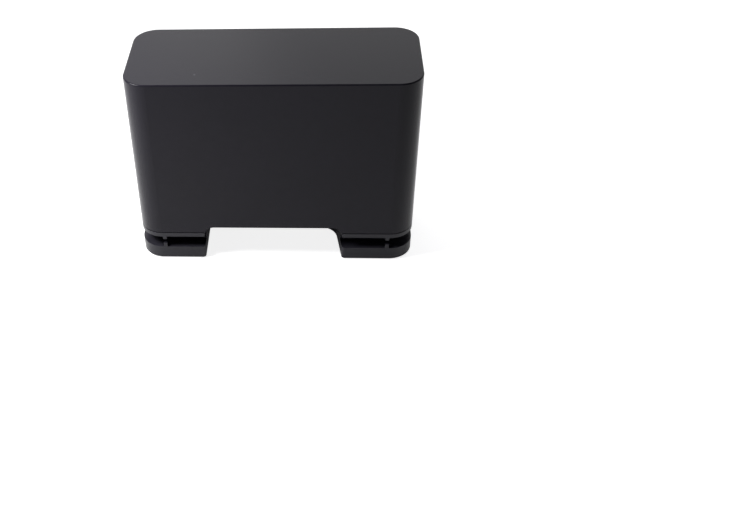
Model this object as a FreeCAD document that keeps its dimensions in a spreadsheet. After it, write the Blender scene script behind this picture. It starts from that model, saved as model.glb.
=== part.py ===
"""Free-standing charging dock for a robot vacuum, as a parametric FreeCAD document.

Frame: +Z up, the floor at Z = 0, the wall side at -Y, the side that meets the robot at +Y.
The origin is on the floor under the middle of the dock's box, sprung contacts included.
Left and right are as seen from the wall side, so left is -X.
"""
import FreeCAD, Part
import Sketcher
import math
import os
import re

# Driving dimensions, in millimetres
SIZES = {
    # Outer form
    "body_width": 108.0,
    "body_depth": 43.0,
    "body_height": 79.5,
    "corner_radius": 9.0,
    "top_edge_round": 0.55,
    "wall": 2.0,
    "top_wall": 2.2,
    # Foot plate, cord groove and lip, from the floor up
    "pad_proud": 0.4,
    "plate_thick": 5.5,
    "plate_edge_chamfer": 0.3,
    "groove_height": 5.15,
    "groove_depth": 5.5,
    "lip_thick": 1.8,
    "seam_gap": 0.35,
    "shell_fit": 0.2,
    # Teeth that keep the cord in its groove
    "tooth_place": 44.0,
    "tooth_width": 1.5,
    "tooth_depth": 1.4,
    "upper_tooth_drop": 1.3,
    "lower_tooth_rise": 1.8,
    # Plug recess behind the arch
    "arch_place": -0.8,
    "arch_width": 54.4,
    "arch_height": 15.7,
    "arch_round": 4.0,
    "chamber_depth": 23.2,
    "recess_taper": 2.7,
    "lead_bend_radius": 7.0,
    "recess_corner_radius": 1.5,
    "recess_mouth_round": 1.2,
    "deck_thick": 2.2,
    # Case screws with their posts and the rubber feet that cover them
    "case_post_side_inset": 11.5,
    "case_post_end_inset": 9.0,
    "case_post_size": 7.0,
    "case_post_height": 18.0,
    "post_rib": 1.6,
    "case_screw_diameter": 2.7,
    "case_screw_bite": 12.0,
    "screw_fit": 0.1,
    "screw_pass_fit": 0.6,
    "case_head_diameter": 5.6,
    "case_head_height": 2.1,
    "head_fit": 0.4,
    "foot_size": 12.0,
    "foot_recess": 0.8,
    "foot_fit": 0.4,
    # Homing window in the front
    "window_side_room": 23.0,
    "window_headroom": 10.5,
    "window_gap": 1.2,
    "window_round": 4.0,
    "window_flange": 2.5,
    "window_flange_thick": 1.2,
    "window_fit": 0.15,
    # Circuit board and its screws
    "board_side_room": 13.0,
    "board_headroom": 7.5,
    "board_rise": 3.4,
    "board_thick": 1.6,
    "board_corner": 2.0,
    "board_hole_side_inset": 3.5,
    "board_hole_end_inset": 4.5,
    "board_post_size": 5.6,
    "board_screw_diameter": 2.0,
    "board_screw_bite": 6.0,
    "board_head_diameter": 4.0,
    "board_head_height": 1.5,
    # Homing LEDs and the block round them
    "led_spacing": 22.0,
    "led_diameter": 5.0,
    "led_length": 8.6,
    "shroud_wall": 3.6,
    "shroud_end_wall": 4.1,
    "shroud_depth": 7.0,
    "shroud_fit": 0.4,
    # Sprung charging contacts
    "contact_spacing": 44.0,
    "contact_middle": 32.0,
    "contact_width": 7.0,
    "contact_height": 18.0,
    "contact_proud": 3.0,
    "contact_travel": 2.5,
    "contact_end_round": 2.5,
    "contact_collar": 1.0,
    "contact_collar_thick": 1.4,
    "contact_rest_gap": 0.05,
    "contact_fit": 0.3,
    "contact_slot_fit": 0.4,
    "housing_front_wall": 1.5,
    "housing_side_wall": 2.0,
    # Folded strip springs between the contacts and their seats
    "spring_pressed_length": 5.55,
    "spring_lap": 12.0,
    "spring_strip_width": 4.0,
    "spring_strip_thick": 0.3,
    "terminal_width": 6.0,
    "terminal_height": 15.0,
    "terminal_thick": 0.5,
    # Power socket in the recess
    "jack_place": -14.0,
    "jack_width": 9.0,
    "jack_height": 9.0,
    "jack_length": 12.0,
    "jack_nose_diameter": 7.8,
    "jack_nose_fit": 0.2,
    "jack_bore": 5.8,
    "jack_bore_depth": 10.0,
    "jack_pin_diameter": 2.0,
    "jack_pin_setback": 1.0,
    "jack_slot_length": 8.0,
    "jack_leaf_width": 2.6,
    "jack_leaf_thick": 0.4,
    "jack_leaf_fit": 0.2,
    # Flat twin lead from the power socket to the board
    "lead_width": 3.2,
    "lead_thick": 1.3,
    "lead_bend": 1.6,
    "lead_inset": 4.0,
    "lead_slot_fit": 0.8,
    "socket_width": 7.5,
    "socket_height": 5.0,
    "socket_depth": 6.0,
    "socket_rise": 6.0,
    "plug_height": 3.5,
    # Components on the back of the board
    "component_line": 52.0,
    "component_pitch": 19.0,
    "capacitor_diameter": 8.0,
    "capacitor_length": 12.0,
    "inductor_size": 10.0,
    "inductor_height": 5.0,
    "inductor_corner": 2.0,
    "chip_width": 5.0,
    "chip_height": 4.0,
    "chip_thick": 1.6,
    # Steel weights in the base
    "ballast_height": 9.0,
    "ballast_fit": 0.4,
}

# Levels and planes that several pieces share, as expressions of the sizes
PLATE_TOP = "(pad_proud + plate_thick)"
LIP_BOTTOM = f"({PLATE_TOP} + groove_height)"
LIP_TOP = f"({LIP_BOTTOM} + lip_thick)"
SHELL_BOTTOM = f"({LIP_TOP} + seam_gap)"
DECK_TOP = "(arch_height + deck_thick)"
FOOT_TOP = "(pad_proud + foot_recess)"
HEAD_TOP = f"({FOOT_TOP} + case_head_height + screw_fit)"
MIDDLE = "(-contact_proud / 2)"
BACK = "(-(body_depth + contact_proud) / 2)"
FRONT = "((body_depth - contact_proud) / 2)"
FRONT_INNER = f"({FRONT} - wall)"
ARCH_LEFT = "(arch_place - arch_width / 2)"
ARCH_RIGHT = "(arch_place + arch_width / 2)"
RECESS_END = f"({FRONT} - chamber_depth)"
RECESS_WALL_INNER = f"({RECESS_END} + wall)"
CORE_WIDTH = "(body_width - 2 * groove_depth)"
CORE_DEPTH = "(body_depth - 2 * groove_depth)"
CORE_INNER_FRONT = f"({FRONT} - groove_depth - wall)"
CORE_INNER_BACK = f"({BACK} + groove_depth + wall)"
CONTACT_STACK = "(contact_rest_gap + contact_collar_thick + contact_travel + spring_pressed_length)"
BOARD_SETBACK = f"(housing_front_wall + {CONTACT_STACK} + terminal_thick)"
BOARD_FRONT = f"({FRONT_INNER} - {BOARD_SETBACK})"
BOARD_BACK = f"({BOARD_FRONT} - board_thick)"
BOARD_WIDTH = "(body_width - 2 * board_side_room)"
BOARD_BOTTOM = f"({DECK_TOP} + board_rise)"
BOARD_HEIGHT = f"(body_height - board_headroom - {BOARD_BOTTOM})"
BOARD_MIDDLE = f"({BOARD_BOTTOM} + {BOARD_HEIGHT} / 2)"
CAVITY_WIDTH = "(contact_width + 2 * contact_collar + 2 * contact_fit)"
CAVITY_HEIGHT = "(contact_height + 2 * contact_collar + 2 * contact_fit)"
HOUSING_TOP = f"(contact_middle + {CAVITY_HEIGHT} / 2 + housing_side_wall)"
WINDOW_WIDTH = "(body_width - 2 * window_side_room)"
WINDOW_BOTTOM = f"({HOUSING_TOP} + window_gap + window_flange)"
WINDOW_HEIGHT = f"(body_height - window_headroom - {WINDOW_BOTTOM})"
WINDOW_MIDDLE = f"({WINDOW_BOTTOM} + {WINDOW_HEIGHT} / 2)"
LED_WELL = "(led_diameter + 2 * shroud_fit)"
SHROUD_HEIGHT = f"({LED_WELL} + 2 * shroud_wall)"
SHROUD_WIDTH = f"(2 * led_spacing + {LED_WELL} + 2 * shroud_end_wall)"
CASE_POST_ACROSS = "(body_width - 2 * case_post_side_inset)"
CASE_POST_ALONG = "(body_depth - 2 * case_post_end_inset)"
BOARD_HOLE_ACROSS = f"({BOARD_WIDTH} - 2 * board_hole_side_inset)"
BOARD_HOLE_ALONG = f"({BOARD_HEIGHT} - 2 * board_hole_end_inset)"
SHOULDER = f"({FRONT_INNER} - housing_front_wall)"
COLLAR_FRONT = f"({SHOULDER} - contact_rest_gap)"
COLLAR_BACK = f"({COLLAR_FRONT} - contact_collar_thick)"
TERMINAL_FRONT = f"({BOARD_FRONT} + terminal_thick)"
JACK_MIDDLE = f"({PLATE_TOP} + jack_height / 2)"
JACK_TOP = f"({PLATE_TOP} + jack_height)"
LEAD_START = f"({RECESS_WALL_INNER} + jack_length - lead_inset)"
SOCKET_MIDDLE = f"({BOARD_BACK} - socket_depth / 2)"
SOCKET_BOTTOM = f"({BOARD_BOTTOM} + socket_rise)"
PLUG_BOTTOM = f"({SOCKET_BOTTOM} - plug_height)"

LEFT_AND_RIGHT = (("left", "-"), ("right", ""))

doc = FreeCAD.newDocument("charging_dock")


def write_sizes():
    """Put every driving dimension in the sheet, one named cell each."""
    sheet = doc.addObject("Spreadsheet::Sheet", "Sizes")
    for row, (name, number) in enumerate(SIZES.items(), 1):
        sheet.set(f"A{row}", name)
        sheet.set(f"B{row}", str(number))
        sheet.setAlias(f"B{row}", name)
    doc.recompute()
    return sheet


SHEET = write_sizes()


def bound(text):
    """Turn an expression of plain size names into one that reads the sheet."""
    return re.sub(r"[a-z_]+", lambda word: f"Sizes.{word[0]}" if word[0] in SIZES else word[0], text)


def value(text):
    """The number that an expression gives with the sheet's present sizes."""
    return float(SHEET.evalExpression(bound(text)))


# Sketch helpers

def new_body(name):
    return doc.addObject("PartDesign::Body", name)


def sketch_on(body, name, role, offset):
    """A sketch on one of the body's origin planes, moved along that plane's normal."""
    plane = next(item for item in body.Origin.OriginFeatures if item.Role == role)
    sketch = body.newObject("Sketcher::SketchObject", name)
    sketch.AttachmentSupport = [(plane, "")]
    sketch.MapMode = "FlatFace"
    sketch.setExpression("AttachmentOffset.Base.z", bound(offset))
    return sketch


def plan_sketch(body, name, level):
    """A sketch seen from above, at a level over the floor."""
    return sketch_on(body, name, "XY_Plane", level)


def front_sketch(body, name, plane):
    """An upright sketch across the dock: its x is X and its y is Z, at a place along Y."""
    return sketch_on(body, name, "XZ_Plane", f"-{plane}")


def dimension(sketch, kind, *parts):
    """A sketch dimension bound to an expression, which is the last argument."""
    *where, text = parts
    index = sketch.addConstraint(Sketcher.Constraint(kind, *where, value(text)))
    sketch.setExpression(f"Constraints[{index}]", bound(text))


def place_point(sketch, geometry, end, x, y):
    """Fix one point of the sketch by its distances from the sketch's origin."""
    dimension(sketch, "DistanceX", -1, 1, geometry, end, x)
    dimension(sketch, "DistanceY", -1, 1, geometry, end, y)


def add_circle(sketch, x, y, diameter):
    middle = FreeCAD.Vector(value(x), value(y), 0)
    circle = Part.Circle(middle, FreeCAD.Vector(0, 0, 1), value(diameter) / 2)
    index = sketch.addGeometry(circle)
    dimension(sketch, "Diameter", index, diameter)
    place_point(sketch, index, 3, x, y)


def add_polygon(sketch, corners):
    """A closed outline of straight lines through corners given as pairs of expressions."""
    points = [FreeCAD.Vector(value(x), value(y), 0) for x, y in corners]
    count = len(points)
    lines = []
    for index in range(count):
        line = Part.LineSegment(points[index], points[(index + 1) % count])
        lines.append(sketch.addGeometry(line))
    for index in range(count):
        following = lines[(index + 1) % count]
        sketch.addConstraint(Sketcher.Constraint("Coincident", lines[index], 2, following, 1))
    for index, (x, y) in enumerate(corners):
        place_point(sketch, lines[index], 1, x, y)


def add_rectangle(sketch, left, right, low, high):
    add_polygon(sketch, [(left, low), (right, low), (right, high), (left, high)])


def add_rounded_rectangle(sketch, x, y, width, height, radius):
    """A rectangle about a middle point, with four equal tangent corner arcs."""
    half_wide = value(width) / 2
    half_high = value(height) / 2
    round_size = value(radius)
    middle = FreeCAD.Vector(value(x), value(y), 0)
    up = FreeCAD.Vector(0, 0, 1)
    arcs = []
    for quarter, (side, rise) in enumerate(((1, -1), (1, 1), (-1, 1), (-1, -1))):
        inset = FreeCAD.Vector(side * (half_wide - round_size), rise * (half_high - round_size), 0)
        start = (quarter - 1) * math.pi / 2
        circle = Part.Circle(middle + inset, up, round_size)
        arcs.append(sketch.addGeometry(Part.ArcOfCircle(circle, start, start + math.pi / 2)))
    lines = []
    for quarter in range(4):
        start = sketch.Geometry[arcs[quarter]].EndPoint
        end = sketch.Geometry[arcs[(quarter + 1) % 4]].StartPoint
        lines.append(sketch.addGeometry(Part.LineSegment(start, end)))
    for quarter in range(4):
        following = arcs[(quarter + 1) % 4]
        sketch.addConstraint(Sketcher.Constraint("Tangent", arcs[quarter], 2, lines[quarter], 1))
        sketch.addConstraint(Sketcher.Constraint("Tangent", lines[quarter], 2, following, 1))
        direction = "Horizontal" if quarter % 2 else "Vertical"
        sketch.addConstraint(Sketcher.Constraint(direction, lines[quarter]))
    for arc in arcs[1:]:
        sketch.addConstraint(Sketcher.Constraint("Equal", arcs[0], arc))
    right, top, left, low = lines
    dimension(sketch, "Radius", arcs[0], radius)
    dimension(sketch, "DistanceX", left, 1, right, 1, width)
    dimension(sketch, "DistanceY", low, 1, top, 1, height)
    dimension(sketch, "DistanceX", -1, 1, left, 1, f"{x} - {width} / 2")
    dimension(sketch, "DistanceY", -1, 1, low, 1, f"{y} - {height} / 2")


def add_square(sketch, x, y, size):
    add_rectangle(sketch, f"{x} - {size} / 2", f"{x} + {size} / 2", f"{y} - {size} / 2", f"{y} + {size} / 2")


def add_upright_rectangle(sketch, x, width, height):
    """A rectangle about the contacts' level."""
    add_rectangle(
        sketch, f"{x} - {width} / 2", f"{x} + {width} / 2", f"contact_middle - {height} / 2",
        f"contact_middle + {height} / 2")


# Feature helpers

def feature(body, kind, sketch, length, flipped):
    """A pad or pocket of a sketch, checked to have changed the solid's volume."""
    before = body.Shape.Volume if body.Tip else 0.0
    made = body.newObject(f"PartDesign::{kind}", f"{sketch.Name}_{kind.lower()}")
    made.Profile = sketch
    made.setExpression("Length", bound(length))
    made.Reversed = flipped
    sketch.Visibility = False
    doc.recompute()
    change = body.Shape.Volume - before
    if (change <= 0) if kind == "Pad" else (change >= 0):
        raise RuntimeError(f"{made.Name} changed nothing")
    return made


def pad_up(body, sketch, height):
    return feature(body, "Pad", sketch, height, False)


def pocket_up(body, sketch, height):
    return feature(body, "Pocket", sketch, height, True)


def pad_to_back(body, sketch, length):
    return feature(body, "Pad", sketch, length, False)


def pad_to_front(body, sketch, length):
    return feature(body, "Pad", sketch, length, True)


def pocket_to_front(body, sketch, length):
    return feature(body, "Pocket", sketch, length, False)


def dress_edges(body, kind, name, size, chosen):
    """A fillet or chamfer on the edges of the body's tip that the test picks."""
    tip = body.Tip
    edges = [f"Edge{n}" for n, edge in enumerate(tip.Shape.Edges, 1) if chosen(edge)]
    if not edges:
        raise RuntimeError(f"{name} found no edge")
    dressed = body.newObject(f"PartDesign::{kind}", name)
    dressed.Base = (tip, edges)
    dressed.setExpression("Radius" if kind == "Fillet" else "Size", bound(size))
    doc.recompute()
    return dressed


def round_edges(body, name, radius, chosen):
    return dress_edges(body, "Fillet", name, radius, chosen)


def chamfer_edges(body, name, size, chosen):
    return dress_edges(body, "Chamfer", name, size, chosen)


def lies_at(edge, axis, place):
    """Whether the whole edge lies in the plane at that place along an axis."""
    box = edge.BoundBox
    low = getattr(box, f"{axis}Min")
    high = getattr(box, f"{axis}Max")
    return abs(low - place) < 1e-4 and abs(high - place) < 1e-4


def four_corners(across, middle, along):
    """The four points of a rectangle about the dock's middle plane and a middle along the other axis."""
    return [
        (f"{side} {across} / 2", f"{middle} {end} {along} / 2")
        for side in ("-", "")
        for end in ("-", "+")
    ]


CASE_POSTS = four_corners(CASE_POST_ACROSS, MIDDLE, CASE_POST_ALONG)
BOARD_POSTS = four_corners(BOARD_HOLE_ACROSS, BOARD_MIDDLE, BOARD_HOLE_ALONG)
# Case and board each have screws at two opposite corners, and plain posts at the other two
CASE_SCREWS = [CASE_POSTS[0], CASE_POSTS[3]]
BOARD_SCREWS = [BOARD_POSTS[0], BOARD_POSTS[3]]

parts = []


def keep(item, label):
    """Give a finished sub-part its label and put it on the list to write."""
    item.Label = label
    parts.append(item)
    return item


def turned(name, outline, direction, x, y, z):
    """A body of revolution: half an outline of (radius, height) pairs, stood along a direction."""
    body = new_body(name)
    sketch = sketch_on(body, f"{name}_outline", "XZ_Plane", "0")
    add_polygon(sketch, outline)
    turn = body.newObject("PartDesign::Revolution", f"{name}_turn")
    turn.Profile = sketch
    turn.ReferenceAxis = (sketch, ["V_Axis"])
    turn.Angle = 360
    sketch.Visibility = False
    body.Placement.Rotation = FreeCAD.Rotation(UP, direction)
    set_place(body, x, y, z)
    doc.recompute()
    return body


def set_place(item, x, y, z):
    for axis, text in zip("xyz", (x, y, z)):
        item.setExpression(f"Placement.Base.{axis}", bound(text))


def block(name, corner, size):
    """A plain block from its low corner, with both given as triples of expressions."""
    box = doc.addObject("Part::Box", name)
    for side, text in zip(("Length", "Width", "Height"), size):
        box.setExpression(side, bound(text))
    set_place(box, *corner)
    return keep(box, name)


UP = FreeCAD.Vector(0, 0, 1)
TO_FRONT = FreeCAD.Vector(0, 1, 0)
TO_BACK = FreeCAD.Vector(0, -1, 0)


# The space behind the arch that takes the plug and its lead

def add_recess_outline(sketch):
    """The recess in plan: a straight left wall, and a right wall that leans in as it goes deeper."""
    mouth = f"{BACK} - wall"
    corners = [
        (ARCH_LEFT, mouth),
        (ARCH_RIGHT, mouth),
        (ARCH_RIGHT, BACK),
        (f"{ARCH_RIGHT} - recess_taper", RECESS_END),
        (ARCH_LEFT, RECESS_END),
    ]
    add_polygon(sketch, corners)


def upright_at(place, side):
    """A test for upright edges of the recess at a place along Y, on one side of the middle."""
    limit = value(ARCH_RIGHT if side > 0 else f"-{ARCH_LEFT}") + 1e-4

    def chosen(edge):
        box = edge.BoundBox
        upright = box.ZLength > value("plate_thick / 2")
        within = 0 < box.XMin * side < limit
        return upright and within and lies_at(edge, "Y", place)
    return chosen


def round_recess_end(body, name):
    """A wide bend for the lead on the right and a small corner on the left."""
    end = value(RECESS_END)
    round_edges(body, f"{name}_lead_bend", "lead_bend_radius", upright_at(end, 1))
    round_edges(body, f"{name}_corner", "recess_corner_radius", upright_at(end, -1))


def make_recess_space():
    """The plug recess as a solid: its plan, kept within an arch with rounded top corners."""
    plan = new_body("recess_plan")
    sketch = plan_sketch(plan, "recess_outline", "-wall")
    add_recess_outline(sketch)
    pad_up(plan, sketch, "arch_height + wall")
    round_recess_end(plan, "recess")

    arch = new_body("recess_arch")
    sketch = front_sketch(arch, "arch_outline", f"({BACK} - 2 * wall)")
    add_rounded_rectangle(
        sketch, "arch_place", "(arch_height / 2 - arch_round)", "arch_width",
        "(arch_height + 2 * arch_round)", "arch_round")
    pad_to_front(arch, sketch, f"{RECESS_END} - {BACK} + 4 * wall")

    space = doc.addObject("Part::Common", "recess_space")
    space.Base = plan
    space.Tool = arch
    doc.recompute()
    return space


def cut_recess(blank, name):
    """A moulded blank less the plug recess."""
    cut = doc.addObject("Part::Cut", name)
    cut.Base = blank
    cut.Tool = RECESS
    doc.recompute()
    return cut


RECESS = make_recess_space()


# Mouldings

def make_outer_shell():
    """The cover: an open box with posts for the case screws and the board, and front openings."""
    body = new_body("shell_blank")
    sketch = plan_sketch(body, "shell_outline", SHELL_BOTTOM)
    add_rounded_rectangle(sketch, "0", MIDDLE, "body_width", "body_depth", "corner_radius")
    pad_up(body, sketch, f"body_height - {SHELL_BOTTOM}")
    top = value("body_height")
    round_edges(body, "top_round", "top_edge_round", lambda edge: lies_at(edge, "Z", top))

    sketch = plan_sketch(body, "shell_hollow", SHELL_BOTTOM)
    add_rounded_rectangle(
        sketch, "0", MIDDLE, "(body_width - 2 * wall)", "(body_depth - 2 * wall)", "(corner_radius - wall)")
    pocket_up(body, sketch, f"body_height - top_wall - {SHELL_BOTTOM}")

    sketch = plan_sketch(body, "case_posts", DECK_TOP)
    for x, y in CASE_POSTS:
        add_square(sketch, x, y, "case_post_size")
    pad_up(body, sketch, "case_post_height")
    sketch = plan_sketch(body, "post_ribs", DECK_TOP)
    inner = f"({CASE_POST_ACROSS} / 2)"
    outer = "(body_width / 2 - wall / 2)"
    for end in ("-", "+"):
        low = f"{MIDDLE} {end} {CASE_POST_ALONG} / 2 - post_rib / 2"
        high = f"{MIDDLE} {end} {CASE_POST_ALONG} / 2 + post_rib / 2"
        add_rectangle(sketch, f"-{outer}", f"-{inner}", low, high)
        add_rectangle(sketch, inner, outer, low, high)
    pad_up(body, sketch, "case_post_height")
    sketch = plan_sketch(body, "case_pilots", DECK_TOP)
    for x, y in CASE_SCREWS:
        add_circle(sketch, x, y, "case_screw_diameter + screw_fit")
    pocket_up(body, sketch, "case_screw_bite + 2 * screw_fit")

    sketch = front_sketch(body, "board_posts", f"({FRONT} - wall / 2)")
    for x, z in BOARD_POSTS:
        add_square(sketch, x, z, "board_post_size")
    pad_to_back(body, sketch, f"{BOARD_SETBACK} + wall / 2")
    sketch = front_sketch(body, "board_pilots", BOARD_FRONT)
    for x, z in BOARD_SCREWS:
        add_circle(sketch, x, z, "board_screw_diameter + screw_fit")
    pocket_to_front(body, sketch, "board_screw_bite + 2 * screw_fit")

    sketch = front_sketch(body, "window_opening", FRONT_INNER)
    add_rounded_rectangle(sketch, "0", WINDOW_MIDDLE, WINDOW_WIDTH, WINDOW_HEIGHT, "window_round")
    pocket_to_front(body, sketch, "2 * wall")
    sketch = front_sketch(body, "contact_openings", FRONT_INNER)
    for side, sign in LEFT_AND_RIGHT:
        add_upright_rectangle(
            sketch, f"{sign}contact_spacing / 2", "(contact_width + 2 * contact_slot_fit)",
            "(contact_height + 2 * contact_slot_fit)")
    pocket_to_front(body, sketch, "2 * wall")
    keep(cut_recess(body, "outer_shell"), "outer_shell")


def add_teeth(body, name, level, height):
    """Cord teeth on the groove's mouth, in pairs near the corners of the wall side and the front."""
    sketch = plan_sketch(body, name, level)
    for sign in ("-", ""):
        middle = f"{sign}tooth_place"
        left = f"{middle} - tooth_width / 2"
        right = f"{middle} + tooth_width / 2"
        add_rectangle(sketch, left, right, BACK, f"{BACK} + tooth_depth")
        add_rectangle(sketch, left, right, f"{FRONT} - tooth_depth", FRONT)
    pad_up(body, sketch, height)


def make_base_frame():
    """The base moulding: inset core, lip, tongue for the shell, weight pockets and jack chamber."""
    body = new_body("frame_blank")
    sketch = plan_sketch(body, "frame_core", PLATE_TOP)
    add_rounded_rectangle(sketch, "0", MIDDLE, CORE_WIDTH, CORE_DEPTH, "(corner_radius - groove_depth)")
    pad_up(body, sketch, "groove_height")
    sketch = plan_sketch(body, "frame_lip", LIP_BOTTOM)
    add_rounded_rectangle(sketch, "0", MIDDLE, "body_width", "body_depth", "corner_radius")
    pad_up(body, sketch, "lip_thick")
    sketch = plan_sketch(body, "frame_tongue", LIP_TOP)
    inset = "(wall + shell_fit)"
    add_rounded_rectangle(
        sketch, "0", MIDDLE, f"(body_width - 2 * {inset})", f"(body_depth - 2 * {inset})",
        f"(corner_radius - {inset})")
    pad_up(body, sketch, f"{DECK_TOP} - {LIP_TOP}")

    cavity_height = f"arch_height - {PLATE_TOP}"
    sketch = plan_sketch(body, "weight_pockets", PLATE_TOP)
    outer = f"({CORE_WIDTH} / 2 - wall)"
    add_rectangle(sketch, f"-{outer}", f"({ARCH_LEFT} - wall)", CORE_INNER_BACK, CORE_INNER_FRONT)
    add_rectangle(sketch, f"({ARCH_RIGHT} + wall)", outer, CORE_INNER_BACK, CORE_INNER_FRONT)
    add_rectangle(sketch, ARCH_LEFT, ARCH_RIGHT, RECESS_WALL_INNER, CORE_INNER_FRONT)
    pocket_up(body, sketch, cavity_height)

    sketch = plan_sketch(body, "frame_posts", PLATE_TOP)
    post_inner = f"({CASE_POST_ACROSS} / 2 - case_post_size / 2)"
    post_outer = f"({outer} + wall / 2)"
    for low, high in (
        (f"{CORE_INNER_BACK} - wall / 2", f"{MIDDLE} - {CASE_POST_ALONG} / 2 + case_post_size / 2"),
        (f"{MIDDLE} + {CASE_POST_ALONG} / 2 - case_post_size / 2", f"{CORE_INNER_FRONT} + wall / 2"),
    ):
        add_rectangle(sketch, f"-{post_outer}", f"-{post_inner}", low, high)
        add_rectangle(sketch, post_inner, post_outer, low, high)
    pad_up(body, sketch, f"{cavity_height} + deck_thick / 2")
    sketch = plan_sketch(body, "frame_post_holes", PLATE_TOP)
    for x, y in CASE_SCREWS:
        add_circle(sketch, x, y, "case_screw_diameter + screw_pass_fit")
    pocket_up(body, sketch, f"{DECK_TOP} - pad_proud")

    sketch = front_sketch(body, "jack_hole", f"({RECESS_END} - wall)")
    add_circle(sketch, "jack_place", JACK_MIDDLE, "jack_nose_diameter + 2 * jack_nose_fit")
    pocket_to_front(body, sketch, "3 * wall")
    sketch = plan_sketch(body, "lead_slot", "arch_height - wall / 2")
    half_slot = "(lead_width / 2 + lead_slot_fit)"
    slot_back = f"{LEAD_START} - lead_thick / 2 - lead_bend - lead_slot_fit"
    slot_front = f"{LEAD_START} + lead_thick / 2 + lead_slot_fit"
    add_rectangle(
        sketch, f"jack_place - {half_slot}", f"jack_place + {half_slot}", slot_back, slot_front)
    pocket_up(body, sketch, "deck_thick + wall")
    add_teeth(body, "upper_teeth", f"{LIP_BOTTOM} - upper_tooth_drop", "upper_tooth_drop + lip_thick / 2")
    keep(cut_recess(body, "base_frame"), "base_frame")


def make_bottom_plate():
    """The foot plate, with hollows for the rubber feet and sunk screw heads below."""
    body = new_body("bottom_plate")
    sketch = plan_sketch(body, "plate_outline", "pad_proud")
    add_rounded_rectangle(sketch, "0", MIDDLE, "body_width", "body_depth", "corner_radius")
    pad_up(body, sketch, "plate_thick")
    sketch = plan_sketch(body, "plate_notch", "pad_proud")
    add_recess_outline(sketch)
    pocket_up(body, sketch, "2 * plate_thick")
    round_recess_end(body, "plate")
    back = value(BACK)
    for side in (-1, 1):
        round_edges(body, f"plate_mouth_{side + 2}", "recess_mouth_round", upright_at(back, side))
    bottom = value("pad_proud")
    chamfer_edges(body, "plate_edge", "plate_edge_chamfer", lambda edge: lies_at(edge, "Z", bottom))
    sketch = plan_sketch(body, "foot_hollows", "pad_proud")
    for x, y in CASE_POSTS:
        add_square(sketch, x, y, "foot_size")
    pocket_up(body, sketch, "foot_recess")
    holes = (
        ("head_hollows", "case_head_diameter + head_fit", f"{HEAD_TOP} - pad_proud"),
        ("plate_holes", "case_screw_diameter + screw_pass_fit", "2 * plate_thick"),
    )
    for name, diameter, depth in holes:
        sketch = plan_sketch(body, name, "pad_proud")
        for x, y in CASE_SCREWS:
            add_circle(sketch, x, y, diameter)
        pocket_up(body, sketch, depth)
    add_teeth(body, "lower_teeth", f"{PLATE_TOP} - plate_thick / 4", "lower_tooth_rise + plate_thick / 4")
    keep(body, "bottom_plate")


def make_ir_window():
    """The dark window: a lens flush with the front and a flange behind the shell's wall."""
    body = new_body("ir_window")
    sketch = front_sketch(body, "window_lens", FRONT)
    add_rounded_rectangle(
        sketch, "0", WINDOW_MIDDLE, f"({WINDOW_WIDTH} - 2 * window_fit)",
        f"({WINDOW_HEIGHT} - 2 * window_fit)", "(window_round - window_fit)")
    pad_to_back(body, sketch, "wall")
    sketch = front_sketch(body, "window_flange_outline", FRONT_INNER)
    half_wide = f"({WINDOW_WIDTH} / 2 + window_flange)"
    half_high = f"({WINDOW_HEIGHT} / 2 + window_flange)"
    low = f"{WINDOW_MIDDLE} - {half_high}"
    high = f"{WINDOW_MIDDLE} + {half_high}"
    add_rectangle(sketch, f"-{half_wide}", half_wide, low, high)
    pad_to_back(body, sketch, "window_flange_thick")
    keep(body, "ir_window")


# Circuit board and what stands on it

def make_main_board():
    body = new_body("main_board")
    sketch = front_sketch(body, "board_outline", BOARD_FRONT)
    add_rounded_rectangle(sketch, "0", BOARD_MIDDLE, BOARD_WIDTH, BOARD_HEIGHT, "board_corner")
    pad_to_back(body, sketch, "board_thick")
    sketch = front_sketch(body, "board_screw_holes", BOARD_BACK)
    for x, z in BOARD_SCREWS:
        add_circle(sketch, x, z, "board_screw_diameter + screw_pass_fit")
    pocket_to_front(body, sketch, "2 * board_thick")
    keep(body, "main_board")


LED_NAMES = (("left", "-led_spacing"), ("centre", "0"), ("right", "led_spacing"))


def make_led_shroud():
    """The block that keeps the homing LEDs' beams apart, each in a square well of its own."""
    body = new_body("led_shroud")
    sketch = front_sketch(body, "shroud_outline", BOARD_FRONT)
    half_wide = f"{SHROUD_WIDTH} / 2"
    add_rectangle(
        sketch, f"-{half_wide}", half_wide, f"{WINDOW_MIDDLE} - {SHROUD_HEIGHT} / 2",
        f"{WINDOW_MIDDLE} + {SHROUD_HEIGHT} / 2")
    pad_to_front(body, sketch, "shroud_depth")
    sketch = front_sketch(body, "shroud_wells", BOARD_FRONT)
    for side, x in LED_NAMES:
        add_square(sketch, x, WINDOW_MIDDLE, LED_WELL)
    pocket_to_front(body, sketch, "2 * shroud_depth")
    keep(body, "led_shroud")


def stud(name, direction, place, diameter, length):
    """A plain round piece that stands on a place along a direction."""
    cylinder = doc.addObject("Part::Cylinder", name)
    cylinder.setExpression("Radius", bound(f"{diameter} / 2"))
    cylinder.setExpression("Height", bound(length))
    cylinder.Placement.Rotation = FreeCAD.Rotation(UP, direction)
    set_place(cylinder, *place)
    return keep(cylinder, name)


def make_ir_led(side, x):
    """A flat-topped round LED that stands on the board and shines through the window."""
    stud(f"ir_led_{side}", TO_FRONT, (x, BOARD_FRONT, WINDOW_MIDDLE), "led_diameter", "led_length")


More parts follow.
